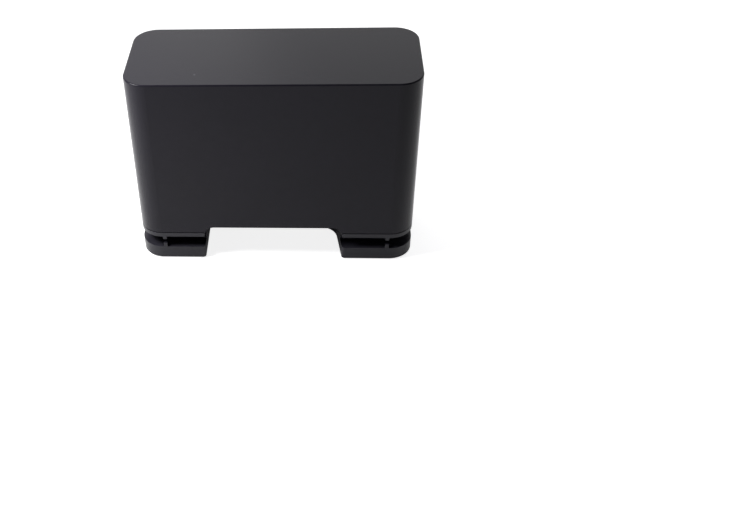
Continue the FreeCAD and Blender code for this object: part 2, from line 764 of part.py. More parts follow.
def make_board_components():
    """Smoothing capacitor, inductor and charge controller on the back of the board."""
    stud(
        "filter_capacitor", TO_BACK, ("component_pitch", BOARD_BACK, "component_line"),
        "capacitor_diameter", "capacitor_length")

    inductor = new_body("power_inductor")
    sketch = front_sketch(inductor, "inductor_outline", BOARD_BACK)
    half = "inductor_size / 2"
    shy = f"({half} - inductor_corner)"
    corners = [
        (f"-{half}", f"-{shy}"), (f"-{shy}", f"-{half}"), (shy, f"-{half}"), (half, f"-{shy}"),
        (half, shy), (shy, half), (f"-{shy}", half), (f"-{half}", shy),
    ]
    add_polygon(sketch, [(x, f"component_line + {z}") for x, z in corners])
    pad_to_back(inductor, sketch, "inductor_height")
    keep(inductor, "power_inductor")

    block(
        "charge_controller_chip",
        ("-component_pitch - chip_width / 2", f"{BOARD_BACK} - chip_thick",
         "component_line - chip_height / 2"),
        ("chip_width", "chip_thick", "chip_height"))


# Sprung charging contacts

def make_contact_housing():
    """The guide between board and front: two slots with wider cavities for collars and springs."""
    body = new_body("contact_housing")
    sketch = front_sketch(body, "housing_outline", BOARD_FRONT)
    add_upright_rectangle(
        sketch, "0", f"(contact_spacing + {CAVITY_WIDTH} + 2 * housing_side_wall)",
        f"({CAVITY_HEIGHT} + 2 * housing_side_wall)")
    pad_to_front(body, sketch, BOARD_SETBACK)
    sketch = front_sketch(body, "housing_cavities", BOARD_FRONT)
    for side, sign in LEFT_AND_RIGHT:
        add_upright_rectangle(sketch, f"{sign}contact_spacing / 2", CAVITY_WIDTH, CAVITY_HEIGHT)
    add_upright_rectangle(
        sketch, "0", f"(contact_spacing - {CAVITY_WIDTH} - 2 * housing_side_wall)", CAVITY_HEIGHT)
    pocket_to_front(body, sketch, f"{BOARD_SETBACK} - housing_front_wall")
    sketch = front_sketch(body, "housing_slots", BOARD_FRONT)
    for side, sign in LEFT_AND_RIGHT:
        add_upright_rectangle(
            sketch, f"{sign}contact_spacing / 2", "(contact_width + 2 * contact_fit)",
            "(contact_height + 2 * contact_fit)")
    pocket_to_front(body, sketch, f"2 * {BOARD_SETBACK}")
    keep(body, "contact_housing")


def make_charging_contact(side, sign):
    """A plated contact: bar with rounded ends that the robot rides over, and a collar that stops it."""
    body = new_body(f"{side}_charging_contact")
    x = f"{sign}contact_spacing / 2"
    sketch = front_sketch(body, f"{side}_collar", COLLAR_FRONT)
    add_upright_rectangle(
        sketch, x, "(contact_width + 2 * contact_collar)", "(contact_height + 2 * contact_collar)")
    pad_to_back(body, sketch, "contact_collar_thick")
    sketch = front_sketch(body, f"{side}_face", COLLAR_FRONT)
    add_upright_rectangle(sketch, x, "contact_width", "contact_height")
    pad_to_front(body, sketch, f"{FRONT} + contact_proud - {COLLAR_FRONT}")
    tip = value(f"{FRONT} + contact_proud")

    def is_end(edge):
        return lies_at(edge, "Y", tip) and edge.BoundBox.XLength > edge.BoundBox.ZLength
    round_edges(body, f"{side}_face_ends", "contact_end_round", is_end)
    keep(body, f"{side}_charging_contact")


def make_contact_terminal(side, sign):
    """The brass seat on the board that carries the spring and its current."""
    block(
        f"{side}_contact_terminal",
        (f"{sign}contact_spacing / 2 - terminal_width / 2", BOARD_FRONT,
         "contact_middle - terminal_height / 2"),
        ("terminal_width", "terminal_thick", "terminal_height"))


def make_contact_spring(side, sign):
    """A strip folded in a Z: its foot on the terminal, its head on the back of the contact's collar."""
    strip = "spring_strip_thick"
    length = f"({COLLAR_BACK} - {TERMINAL_FRONT})"
    web = f"({strip} * sqrt({length}^2 + spring_lap^2) / spring_lap)"
    crotch = f"(spring_lap * {strip} / ({length} - {web}))"
    low = "(contact_middle - spring_lap / 2)"
    high = "(contact_middle + spring_lap / 2)"
    foot_to_head = [
        (TERMINAL_FRONT, low),
        (TERMINAL_FRONT, high),
        (f"{TERMINAL_FRONT} + {web}", high),
        (f"{COLLAR_BACK} - {strip}", f"{low} + {crotch}"),
        (f"{COLLAR_BACK} - {strip}", high),
    ]
    head_to_foot = [
        (COLLAR_BACK, high),
        (COLLAR_BACK, low),
        (f"{COLLAR_BACK} - {web}", low),
        (f"{TERMINAL_FRONT} + {strip}", f"{high} - {crotch}"),
        (f"{TERMINAL_FRONT} + {strip}", low),
    ]
    body = new_body(f"{side}_contact_spring")
    near_side = f"{sign}contact_spacing / 2 - spring_strip_width / 2"
    sketch = sketch_on(body, f"{side}_spring_profile", "YZ_Plane", near_side)
    add_polygon(sketch, foot_to_head + head_to_foot)
    feature(body, "Pad", sketch, "spring_strip_width", False)
    keep(body, f"{side}_contact_spring")


# Power socket and its lead

def make_dc_jack():
    """A barrel socket: block with a nose in the recess wall, centre pin and sleeve leaf."""
    body = new_body("dc_jack_body")
    sketch = front_sketch(body, "jack_block", RECESS_WALL_INNER)
    half = "jack_width / 2"
    add_rectangle(sketch, f"jack_place - {half}", f"jack_place + {half}", PLATE_TOP, JACK_TOP)
    pad_to_front(body, sketch, "jack_length")
    sketch = front_sketch(body, "jack_nose", RECESS_END)
    add_circle(sketch, "jack_place", JACK_MIDDLE, "jack_nose_diameter")
    pad_to_front(body, sketch, "2 * wall")
    sketch = front_sketch(body, "jack_bore_outline", RECESS_END)
    add_circle(sketch, "jack_place", JACK_MIDDLE, "jack_bore")
    pocket_to_front(body, sketch, "jack_bore_depth")
    sketch = front_sketch(body, "jack_pin_hole", RECESS_END)
    add_circle(sketch, "jack_place", JACK_MIDDLE, "jack_pin_diameter")
    pocket_to_front(body, sketch, "jack_length + 2 * wall")
    sketch = plan_sketch(body, "jack_leaf_slot", f"{JACK_MIDDLE} + jack_bore / 4")
    half_slot = "(jack_leaf_width / 2 + jack_leaf_fit)"
    add_rectangle(
        sketch, f"jack_place - {half_slot}", f"jack_place + {half_slot}",
        f"{RECESS_WALL_INNER} + jack_leaf_fit", f"{RECESS_WALL_INNER} + jack_slot_length")
    pocket_up(body, sketch, "jack_height")
    keep(body, "dc_jack_body")

    radius = "jack_pin_diameter / 2"
    length = "(wall + jack_length - jack_pin_setback)"
    outline = [
        ("0", "0"),
        (radius, "0"),
        (radius, length),
        ("0", length),
    ]
    pin = turned(
        "dc_jack_pin", outline, TO_BACK, "jack_place", f"{RECESS_WALL_INNER} + jack_length", JACK_MIDDLE)
    keep(pin, "dc_jack_pin")

    leaf = new_body("dc_jack_sleeve_contact")
    sketch = sketch_on(leaf, "leaf_profile", "YZ_Plane", "jack_place - jack_leaf_width / 2")
    rear = f"({RECESS_WALL_INNER} + jack_slot_length)"
    tip = f"({RECESS_WALL_INNER} + 2 * jack_leaf_fit)"
    dip = f"(({rear} + {tip}) / 2)"
    high = f"({JACK_TOP} - jack_leaf_thick)"
    low = f"({JACK_MIDDLE} + jack_bore / 2 - jack_leaf_thick)"
    upper_side = [(tip, high), (dip, low), (rear, high)]
    lower_side = [(y, f"{z} - jack_leaf_thick") for y, z in reversed(upper_side)]
    add_polygon(sketch, upper_side + lower_side)
    feature(leaf, "Pad", sketch, "jack_leaf_width", False)
    keep(leaf, "dc_jack_sleeve_contact")


def make_jack_lead():
    """A flat twin lead: up out of the socket, back under the board, and up to its plug."""
    half = "lead_thick / 2"
    level = f"({DECK_TOP} + lead_thick)"
    front = LEAD_START
    back = SOCKET_MIDDLE
    outline = [
        (f"{front} + {half}", JACK_TOP),
        (f"{front} + {half}", f"{level} + {half}"),
        (f"{back} + {half}", f"{level} + {half}"),
        (f"{back} + {half}", PLUG_BOTTOM),
        (f"{back} - {half}", PLUG_BOTTOM),
        (f"{back} - {half}", f"{level} - {half}"),
        (f"{front} - {half}", f"{level} - {half}"),
        (f"{front} - {half}", JACK_TOP),
    ]
    body = new_body("jack_lead")
    sketch = sketch_on(body, "lead_profile", "YZ_Plane", "jack_place - lead_width / 2")
    add_polygon(sketch, outline)
    feature(body, "Pad", sketch, "lead_width", False)
    inner_bends = [outline[6], outline[2]]
    outer_bends = [outline[1], outline[5]]
    round_edges(body, "lead_inner_bends", "lead_bend", crossing_at(inner_bends))
    round_edges(body, "lead_outer_bends", "lead_bend + lead_thick", crossing_at(outer_bends))
    keep(body, "jack_lead")


def crossing_at(places):
    """A test for edges that run along X through one of the given (y, z) places."""
    points = [(value(y), value(z)) for y, z in places]

    def chosen(edge):
        middle = edge.BoundBox.Center
        across = edge.BoundBox.XLength > value("lead_width / 2")
        return across and any(math.hypot(middle.y - y, middle.z - z) < 1e-3 for y, z in points)
    return chosen


def make_lead_connector():
    """The header on the back of the board and the plug that the lead ends in."""
    left = "jack_place - socket_width / 2"
    back = f"{BOARD_BACK} - socket_depth"
    block("board_socket", (left, back, SOCKET_BOTTOM), ("socket_width", "socket_depth", "socket_height"))
    block("lead_plug", (left, back, PLUG_BOTTOM), ("socket_width", "socket_depth", "plug_height"))


# Weights, feet and screws

def make_ballast():
    fit = "ballast_fit"
    outer = f"({CORE_WIDTH} / 2 - wall - {fit})"
    left_width = f"({outer} + {ARCH_LEFT} - wall - {fit})"
    right_width = f"({outer} - {ARCH_RIGHT} - wall - {fit})"
    side_depth = f"({CASE_POST_ALONG} - case_post_size - 2 * {fit})"
    side_back = f"({MIDDLE} - {side_depth} / 2)"
    centre_left = f"(jack_place + jack_width / 2 + {fit})"
    centre_width = f"({ARCH_RIGHT} - {fit} - {centre_left})"
    centre_back = f"({RECESS_WALL_INNER} + {fit})"
    centre_depth = f"({CORE_INNER_FRONT} - {fit} - {centre_back})"
    right_start = f"({ARCH_RIGHT} + wall + {fit})"
    weights = (
        ("ballast_left", f"-{outer}", side_back, left_width, side_depth),
        ("ballast_right", right_start, side_back, right_width, side_depth),
        ("ballast_centre", centre_left, centre_back, centre_width, centre_depth),
    )
    for name, x, y, width, depth in weights:
        block(name, (x, y, PLATE_TOP), (width, depth, "ballast_height"))


def make_rubber_feet():
    """Four square pads that cover the case screws and stand a little below the plate."""
    side = "(foot_size - 2 * foot_fit)"
    names = ("left_back", "left_front", "right_back", "right_front")
    for name, (x, y) in zip(names, CASE_POSTS):
        block(f"rubber_foot_{name}", (f"{x} - {side} / 2", f"{y} - {side} / 2", "0"), (side, side, FOOT_TOP))


def make_screws(name, places, direction, outline):
    """A group of equal screws, one solid at each place."""
    screws = []
    for number, (x, y, z) in enumerate(places, 1):
        screws.append(turned(f"{name}_{number}", outline, direction, x, y, z))
    group = doc.addObject("Part::Compound", name)
    group.Links = screws
    keep(group, name)


def screw_outline(head, head_height, shank, length):
    """Half of a cheese-head screw, from the top of its head."""
    return [
        ("0", "0"),
        (f"{head} / 2", "0"),
        (f"{head} / 2", head_height),
        (f"{shank} / 2", head_height),
        (f"{shank} / 2", length),
        ("0", length),
    ]


def make_all_screws():
    case_length = f"({DECK_TOP} + case_screw_bite - {HEAD_TOP} + case_head_height)"
    case_level = f"{HEAD_TOP} - case_head_height"
    make_screws(
        "case_screws", [(x, y, case_level) for x, y in CASE_SCREWS], UP,
        screw_outline("case_head_diameter", "case_head_height", "case_screw_diameter", case_length))
    board_length = "(board_head_height + board_thick + board_screw_bite)"
    head_plane = f"{BOARD_BACK} - board_head_height"
    make_screws(
        "board_screws", [(x, head_plane, z) for x, z in BOARD_SCREWS], TO_FRONT,
        screw_outline("board_head_diameter", "board_head_height", "board_screw_diameter", board_length))


def make_all():
    make_outer_shell()
    make_base_frame()
    make_bottom_plate()
    make_ir_window()
    make_main_board()
    make_led_shroud()
    for side, x in LED_NAMES:
        make_ir_led(side, x)
    make_board_components()
    make_contact_housing()
    for side, sign in LEFT_AND_RIGHT:
        make_charging_contact(side, sign)
        make_contact_terminal(side, sign)
        make_contact_spring(side, sign)
    make_dc_jack()
    make_jack_lead()
    make_lead_connector()
    make_ballast()
    make_rubber_feet()
    make_all_screws()
    doc.recompute()


def check_all():
    """Stop before writing if any object failed or any sub-part is not a sound solid."""
    for item in doc.Objects:
        if {"Invalid", "Error"} & set(item.State):
            raise RuntimeError(f"{item.Label} failed: {item.State}")
    for item in parts:
        if item.Shape.isNull() or not item.Shape.isValid() or not item.Shape.Solids:
            raise RuntimeError(f"{item.Label} is not a sound solid")


def write_parts():
    os.makedirs("parts", exist_ok=True)
    for item in parts:
        item.Shape.exportStep(f"parts/{item.Label}.step")
        print(f"{item.Label}: {len(item.Shape.Solids)} solid, {item.Shape.Volume:.1f} mm3")


make_all()
check_all()
write_parts()
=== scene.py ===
"""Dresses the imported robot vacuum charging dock: finishes, contact springs and a small studio."""

import math

import bmesh
import bpy
from bpy.props import FloatProperty, FloatVectorProperty, PointerProperty
from mathutils import Matrix, Vector


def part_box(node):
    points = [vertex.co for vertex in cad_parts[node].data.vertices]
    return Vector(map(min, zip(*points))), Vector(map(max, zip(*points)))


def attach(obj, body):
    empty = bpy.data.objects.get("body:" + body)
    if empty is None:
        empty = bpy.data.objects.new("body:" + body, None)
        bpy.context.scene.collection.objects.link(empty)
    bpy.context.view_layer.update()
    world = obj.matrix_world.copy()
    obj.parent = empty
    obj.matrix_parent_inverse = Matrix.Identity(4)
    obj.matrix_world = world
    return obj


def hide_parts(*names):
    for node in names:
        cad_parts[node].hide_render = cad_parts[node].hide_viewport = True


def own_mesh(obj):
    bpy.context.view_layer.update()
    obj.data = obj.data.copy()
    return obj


bl_info = {
    "name": "Robot vacuum charging dock",
    "version": (1, 0, 0),
    "blender": (4, 5, 0),
    "location": "3D View > Sidebar > Dock",
    "description": "Finishes, contact springs and studio for a robot vacuum charging dock",
    "category": "Object",
}

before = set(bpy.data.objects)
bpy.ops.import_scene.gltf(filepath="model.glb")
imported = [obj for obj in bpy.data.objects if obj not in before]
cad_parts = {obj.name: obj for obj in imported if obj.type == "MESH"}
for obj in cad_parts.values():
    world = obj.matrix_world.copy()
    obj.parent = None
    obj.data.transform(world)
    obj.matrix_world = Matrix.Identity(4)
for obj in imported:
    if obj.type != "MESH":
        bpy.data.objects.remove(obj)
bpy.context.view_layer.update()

MM = 0.001
SIDES = ("left", "right")

# Straight stretches that make up each bend of a contact spring
BEND_STEPS = 8

# Sockets of a Mix node that mixes two colours
MIX_SHARE = 0
MIX_FIRST = 6
MIX_SECOND = 7
MIX_COLOUR = 2


def linear(code):
    """An sRGB hex colour as linear red, green and blue."""
    channels = [int(code[start:start + 2], 16) / 255 for start in (0, 2, 4)]
    return tuple(c / 12.92 if c <= 0.04045 else ((c + 0.055) / 1.055) ** 2.4 for c in channels)


class DockColours(bpy.types.PropertyGroup):
    """What colour each moulding, plating and component is."""

    shell: FloatVectorProperty(
        name="Shell", description="Charcoal ABS of the tall cover",
        subtype="COLOR", min=0, max=1, default=linear("1e1c24"))
    base: FloatVectorProperty(
        name="Base", description="Charcoal ABS of the base frame and the foot plate",
        subtype="COLOR", min=0, max=1, default=linear("2a2930"))
    lint: FloatVectorProperty(
        name="Lint", description="The few pale specks of lint that lie on the plastic",
        subtype="COLOR", min=0, max=1, default=linear("6c6c72"))
    window: FloatVectorProperty(
        name="Window", description="Smoked plastic that only infrared passes",
        subtype="COLOR", min=0, max=1, default=linear("0b090b"))
    inner: FloatVectorProperty(
        name="Inner mouldings", description="Black plastic inside the case and round the power socket",
        subtype="COLOR", min=0, max=1, default=linear("1a1a1b"))
    nickel: FloatVectorProperty(
        name="Nickel", description="Plating of the contacts and of the power socket's metal",
        subtype="COLOR", min=0, max=1, default=linear("d8d4ca"))
    spring: FloatVectorProperty(
        name="Spring steel", description="Rolled strip of the contact springs",
        subtype="COLOR", min=0, max=1, default=linear("b9babd"))
    brass: FloatVectorProperty(
        name="Brass", description="Stamped seats of the springs",
        subtype="COLOR", min=0, max=1, default=linear("d9bb72"))
    mask: FloatVectorProperty(
        name="Solder mask", description="Green lacquer of the circuit board",
        subtype="COLOR", min=0, max=1, default=linear("12522c"))
    track: FloatVectorProperty(
        name="Tracks", description="The lacquer where copper lies under it",
        subtype="COLOR", min=0, max=1, default=linear("257a45"))
    resin: FloatVectorProperty(
        name="Diode resin", description="Clear bluish resin of the homing diodes",
        subtype="COLOR", min=0, max=1, default=linear("a3a6c4"))
    nylon: FloatVectorProperty(
        name="Nylon", description="Natural nylon of the lead's plug and its socket",
        subtype="COLOR", min=0, max=1, default=linear("e2dfd4"))
    lead: FloatVectorProperty(
        name="Lead", description="Black insulation of the inner lead",
        subtype="COLOR", min=0, max=1, default=linear("19191a"))
    can: FloatVectorProperty(
        name="Capacitor can", description="Drawn aluminium",
        subtype="COLOR", min=0, max=1, default=linear("d6d7da"))
    ferrite: FloatVectorProperty(
        name="Ferrite", description="Pressed and fired core of the inductor",
        subtype="COLOR", min=0, max=1, default=linear("3c3c3f"))
    chip: FloatVectorProperty(
        name="Chip", description="Moulded epoxy of the charge controller",
        subtype="COLOR", min=0, max=1, default=linear("262627"))
    ballast: FloatVectorProperty(
        name="Ballast", description="Sawn mild steel of the weights",
        subtype="COLOR", min=0, max=1, default=linear("a3a4a6"))
    rubber: FloatVectorProperty(
        name="Feet", description="Black rubber of the feet",
        subtype="COLOR", min=0, max=1, default=linear("202021"))
    screw: FloatVectorProperty(
        name="Screws", description="Zinc plated steel",
        subtype="COLOR", min=0, max=1, default=linear("b6b8ba"))


class DockSizes(bpy.types.PropertyGroup):
    """Sizes of the patterns in the finishes, of the broken edges and of the springs."""

    shell_grain: FloatProperty(
        name="Shell grain", description="Pitch of the spark texture on the cover",
        unit="LENGTH", default=0.45 * MM, min=0.05 * MM)
    base_grain: FloatProperty(
        name="Base grain", description="Pitch of the finer texture on the base and the small mouldings",
        unit="LENGTH", default=0.35 * MM, min=0.05 * MM)
    sink_pitch: FloatProperty(
        name="Sink pitch", description="Distance between the faint swells that cooling leaves in a wall",
        unit="LENGTH", default=22 * MM, min=1 * MM)
    lint_pitch: FloatProperty(
        name="Lint pitch", description="Distance between places where a speck of lint may lie",
        unit="LENGTH", default=5 * MM, min=1 * MM)
    lint_radius: FloatProperty(
        name="Lint radius", description="How far a speck of lint reaches from its middle",
        unit="LENGTH", default=0.25 * MM, min=0.05 * MM)
    lint_threshold: FloatProperty(
        name="Lint threshold", description="Places with a random tone above this carry a speck of lint",
        subtype="FACTOR", default=0.68, min=0, max=1)
    polish_pitch: FloatProperty(
        name="Polish pitch", description="Distance between the hairlines in polished plastic",
        unit="LENGTH", default=0.6 * MM, min=0.05 * MM)
    cloud_pitch: FloatProperty(
        name="Cloud pitch", description="Distance between the faint clouds in the diodes' resin",
        unit="LENGTH", default=1.5 * MM, min=0.1 * MM)
    streak_pitch: FloatProperty(
        name="Streak pitch", description="Distance between the streaks in rubbed, rolled or turned metal",
        unit="LENGTH", default=0.35 * MM, min=0.05 * MM)
    track_pitch: FloatProperty(
        name="Track pitch", description="Distance between the copper tracks of the circuit board",
        unit="LENGTH", default=1.27 * MM, min=0.2 * MM)
    saw_pitch: FloatProperty(
        name="Saw pitch", description="Distance between the saw's marks on the ballast",
        unit="LENGTH", default=0.8 * MM, min=0.05 * MM)
    base_edge: FloatProperty(
        name="Base edge", description="Width of the broken edges of the base mouldings",
        unit="LENGTH", default=0.15 * MM, min=0)
    contact_edge: FloatProperty(
        name="Contact edge", description="Width of the rounded edges of the charging contacts",
        unit="LENGTH", default=0.4 * MM, min=0)
    foot_edge: FloatProperty(
        name="Foot edge", description="Width of the rounded edges of the rubber feet",
        unit="LENGTH", default=0.3 * MM, min=0)
    small_edge: FloatProperty(
        name="Small edge", description="Width of the broken edges of the pieces inside",
        unit="LENGTH", default=0.12 * MM, min=0)
    strip_thickness: FloatProperty(
        name="Spring strip", description="Thickness of the contact springs' strip",
        unit="LENGTH", default=0.3 * MM, min=0.1 * MM)
    strip_bend: FloatProperty(
        name="Spring bend", description="Radius at the middle of the strip in a spring's two bends",
        unit="LENGTH", default=0.9 * MM, min=0.2 * MM)


class DockGloss(bpy.types.PropertyGroup):
    """How the charcoal ABS of the shell and the base reflects."""

    # From a roughness of about 0.27 up, the renderer's noise filter treats the surface as matte and draws
    # the edge of each patch, so the middle value and its pattern stay below that.
    moulded_roughness: FloatProperty(
        name="Moulded roughness", description="Middle roughness of the spark texture",
        subtype="FACTOR", default=0.235, min=0, max=1)
    shell_sheen: FloatProperty(
        name="Shell sheen", description="Strength of the cover's reflections, where 0.5 is plain plastic",
        subtype="FACTOR", default=0.12, min=0, max=1)
    base_sheen: FloatProperty(
        name="Base sheen", description="Strength of the base's reflections, where 0.5 is plain plastic",
        subtype="FACTOR", default=0.2, min=0, max=1)


class DockStage(bpy.types.PropertyGroup):
    """The camera, the floor and the lamps."""

    camera_place: FloatVectorProperty(
        name="Camera place", description="Where the camera stands",
        subtype="TRANSLATION", unit="LENGTH", default=(0.01767, -0.32977, 0.2583))
    camera_tilt: FloatProperty(
        name="Camera tilt", description="How far the camera looks down from level",
        subtype="ANGLE", default=math.radians(40.067))
    camera_turn: FloatProperty(
        name="Camera turn", description="How far the camera turns left from looking along +Y",
        subtype="ANGLE", default=math.radians(5.975))
    camera_roll: FloatProperty(
        name="Camera roll", description="How far the camera leans about its own axis",
        subtype="ANGLE", default=math.radians(-3.342))
    camera_lens: FloatProperty(
        name="Camera lens", description="Focal length on a sensor 36 mm wide",
        subtype="DISTANCE_CAMERA", default=47.899, min=10)
    camera_shift: FloatProperty(
        name="Camera shift", description="Shift of the view to the right, as a share of its width",
        default=0.18)
    floor_colour: FloatVectorProperty(
        name="Floor", description="Pale floor",
        subtype="COLOR", min=0, max=1, default=linear("e8e8e8"))
    floor_glow: FloatProperty(
        name="Floor white", description="White that the camera and reflections see besides the lit floor",
        default=0.85, min=0)
    # Painted shade: these two set how far and how steeply ambient occlusion dims the floor's white in
    # reflections where pieces stand close over it
    floor_shade: FloatProperty(
        name="Floor shade", description="How near a piece must be to shut the floor in",
        unit="LENGTH", default=20 * MM, min=0)
    floor_falloff: FloatProperty(
        name="Floor falloff",
        description="How steeply the white in reflections falls where the floor is shut in",
        default=2.0, min=0)
    floor_reach: FloatProperty(
        name="Floor reach", description="How far the floor goes to each side before its edge turns up",
        unit="LENGTH", default=3.0, min=0.5)
    backdrop_height: FloatProperty(
        name="Backdrop height", description="How far the floor's edges are turned up",
        unit="LENGTH", default=1.0, min=0)
    room: FloatVectorProperty(
        name="Room", description="Dim light of the room round the studio",
        subtype="COLOR", min=0, max=1, default=linear("3f3f45"))
    back_left_lamp: FloatProperty(
        name="Back left lamp", description="Power of the softbox beyond the dock on the left",
        unit="POWER", default=0.87, min=0)
    back_lamp: FloatProperty(
        name="Back lamp", description="Power of the softbox straight beyond the dock",
        unit="POWER", default=0.24, min=0)
    wide_lamp: FloatProperty(
        name="Wide lamp", description="Power of the wide screen of light behind both softboxes",
        unit="POWER", default=4.5, min=0)
    left_lamp: FloatProperty(
        name="Left lamp", description="Power of the small lamp close by on the left",
        unit="POWER", default=0.46, min=0)


def add_node(tree, kind, inputs=None, **options):
    """Adds a node to a tree, sets its options, and sets or links its inputs."""
    node = tree.nodes.new(kind)
    for option, value in options.items():
        setattr(node, option, value)
    for socket, value in (inputs or {}).items():
        if isinstance(value, bpy.types.NodeSocket):
            tree.links.new(value, node.inputs[socket])
        else:
            node.inputs[socket].default_value = value
    return node


def new_finish(name, plain, linked=None):
    """A material with one Principled shader: plain values by socket, and patterns that drive others."""
    finish = bpy.data.materials.new(name)
    finish.use_nodes = True
    tree = finish.node_tree
    shader = tree.nodes["Principled BSDF"]
    for socket, value in plain.items():
        shader.inputs[socket].default_value = value
    for socket, output in (linked(tree) if linked else {}).items():
        tree.links.new(output, shader.inputs[socket])
    return finish


def opaque(colour, factor=1.0):
    """A colour made darker or lighter by a factor, with full alpha, as a shader's socket takes it."""
    return (*(min(1.0, factor * channel) for channel in colour), 1.0)


def dress(finish, *names):
    """Gives CAD nodes a finish in place of the plain colour that they were packed with."""
    for name in names:
        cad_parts[name].material_slots[0].material = finish


def break_edges(width, *names):
    """Rounds the sharp edges of CAD nodes a little, so that they catch the light as real edges do."""
    for name in names:
        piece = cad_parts[name]
        weld = piece.modifiers.new("joined_faces", "WELD")
        weld.merge_threshold = 0.001 * MM
        bevel = piece.modifiers.new("broken_edges", "BEVEL")
        bevel.width = width
        bevel.segments = 2
        bevel.limit_method = "ANGLE"
        bevel.angle_limit = math.radians(35)
        bevel.harden_normals = True
        piece.modifiers.new("even_shading", "WEIGHTED_NORMAL")


def spark_textured_abs(name, colour, lint, grain, sizes, roughness, sheen):
    """ABS moulded in a spark-textured tool.

    The eye sees a satin charcoal skin: lamps spread into broad sheens, the gloss changes a little from
    place to place, and a few specks of lint show. The real grain is about 0.1 mm, too fine to show in
    the picture, so it is drawn coarser.
    """
    gloss_change = 0.06
    tone_change = 0.1

    def patterns(tree):
        place = add_node(tree, "ShaderNodeTexCoord").outputs["Object"]
        grit = add_node(tree, "ShaderNodeTexNoise", {
            "Vector": place, "Scale": 1 / grain, "Detail": 2.0, "Roughness": 0.6}).outputs["Fac"]
        swell = add_node(tree, "ShaderNodeTexNoise", {
            "Vector": place, "Scale": 1 / sizes.sink_pitch, "Detail": 2.0}).outputs["Fac"]
        spread = add_node(tree, "ShaderNodeMapRange", {
            "Value": swell, "To Min": roughness - gloss_change,
            "To Max": roughness + gloss_change}).outputs["Result"]
        tone = add_node(tree, "ShaderNodeMix", {
            MIX_SHARE: swell, MIX_FIRST: opaque(colour, 1 - tone_change),
            MIX_SECOND: opaque(colour, 1 + tone_change)}, data_type="RGBA").outputs[MIX_COLOUR]
        specks = add_node(tree, "ShaderNodeTexVoronoi", {
            "Vector": place, "Scale": 1 / sizes.lint_pitch}).outputs
        near = add_node(tree, "ShaderNodeMath", {
            0: specks["Distance"], 1: sizes.lint_radius / sizes.lint_pitch},
            operation="LESS_THAN").outputs["Value"]
        chosen = add_node(tree, "ShaderNodeMath", {
            0: specks["Color"], 1: sizes.lint_threshold}, operation="GREATER_THAN").outputs["Value"]
        speck = add_node(tree, "ShaderNodeMath", {
            0: near, 1: chosen}, operation="MULTIPLY").outputs["Value"]
        skin = add_node(tree, "ShaderNodeMix", {
            MIX_SHARE: speck, MIX_FIRST: tone,
            MIX_SECOND: opaque(lint)}, data_type="RGBA").outputs[MIX_COLOUR]
        relief = add_node(tree, "ShaderNodeBump", {
            "Height": grit, "Strength": 0.25, "Distance": 0.02 * MM}).outputs["Normal"]
        return {"Base Color": skin, "Roughness": spread, "Normal": relief}

    return new_finish(name, {"Specular IOR Level": sheen, "IOR": 1.53}, patterns)


def polished_smoked_acrylic(colour, hairlines):
    """Acrylic moulded in a polished tool, dyed so that only infrared passes.

    The eye sees a black gloss that mirrors the room, with faint hairlines across it that wiping leaves.
    """
    lengthwise = (0.06, 1.0, 1.0)

    def patterns(tree):
        place = add_node(tree, "ShaderNodeTexCoord").outputs["Object"]
        along = add_node(tree, "ShaderNodeMapping", {
            "Vector": place, "Scale": lengthwise}).outputs["Vector"]
        wiped = add_node(tree, "ShaderNodeTexNoise", {
            "Vector": along, "Scale": 1 / hairlines, "Detail": 3.0}).outputs["Fac"]
        haze = add_node(tree, "ShaderNodeMapRange", {
            "Value": wiped, "From Min": 0.35, "From Max": 0.75,
            "To Min": 0.05, "To Max": 0.14}).outputs["Result"]
        relief = add_node(tree, "ShaderNodeBump", {
            "Height": wiped, "Strength": 0.04, "Distance": 0.01 * MM}).outputs["Normal"]
        return {"Roughness": haze, "Normal": relief}

    return new_finish("acrylic_polished_smoked", {"Base Color": opaque(colour), "IOR": 1.49}, patterns)


def plain_moulded(name, colour, grain, roughness, ior):
    """A small technical moulding straight from a milled tool.

    The eye sees an even satin surface with the tool's fine cutter marks, drawn a little coarser than
    they are.
    """
    gloss_change = 0.08
    tone_change = 0.12

    def patterns(tree):
        place = add_node(tree, "ShaderNodeTexCoord").outputs["Object"]
        grit = add_node(tree, "ShaderNodeTexNoise", {
            "Vector": place, "Scale": 1 / grain, "Detail": 3.0}).outputs["Fac"]
        spread = add_node(tree, "ShaderNodeMapRange", {
            "Value": grit, "To Min": roughness - gloss_change,
            "To Max": roughness + gloss_change}).outputs["Result"]
        tone = add_node(tree, "ShaderNodeMix", {
            MIX_SHARE: grit, MIX_FIRST: opaque(colour, 1 - tone_change),
            MIX_SECOND: opaque(colour, 1 + tone_change)}, data_type="RGBA").outputs[MIX_COLOUR]
        relief = add_node(tree, "ShaderNodeBump", {
            "Height": grit, "Strength": 0.2, "Distance": 0.02 * MM}).outputs["Normal"]
        return {"Base Color": tone, "Roughness": spread, "Normal": relief}

    return new_finish(name, {"IOR": ior}, patterns)


